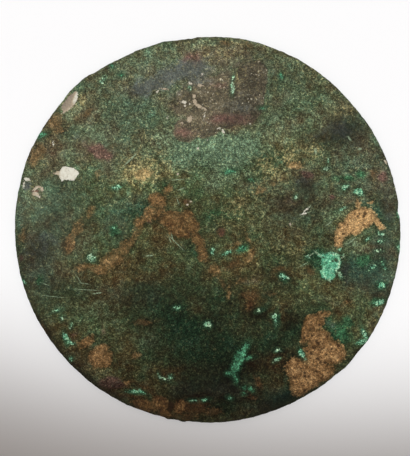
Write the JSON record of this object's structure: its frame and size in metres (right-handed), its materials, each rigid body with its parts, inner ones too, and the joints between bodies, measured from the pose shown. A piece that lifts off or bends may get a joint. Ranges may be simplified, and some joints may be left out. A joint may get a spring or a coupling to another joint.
{
  "type": "ancient bronze disc mirror",
  "caption": "Round cast-bronze mirror disc without a handle: plain, slightly crowned face under green and brown corrosion with earth crusts, worn round edge, flat back.",
  "frame": {"origin": "on the flat underside, below the middle of the disc, which lies face up", "axes": "+Z out of the reflecting face, +Y towards the top of the disc as it is shown, +X to its right"},
  "size_m": [0.1598, 0.1599, 0.0043],
  "materials": {
    "patinated_bronze": "mottled dark green and olive-brown corrosion with patches of ochre earth, turquoise bloom, slate grey and red-brown"
  },
  "bodies": {
    "root": {"mirror_disc": "patinated_bronze"}
  },
  "joints": []
}
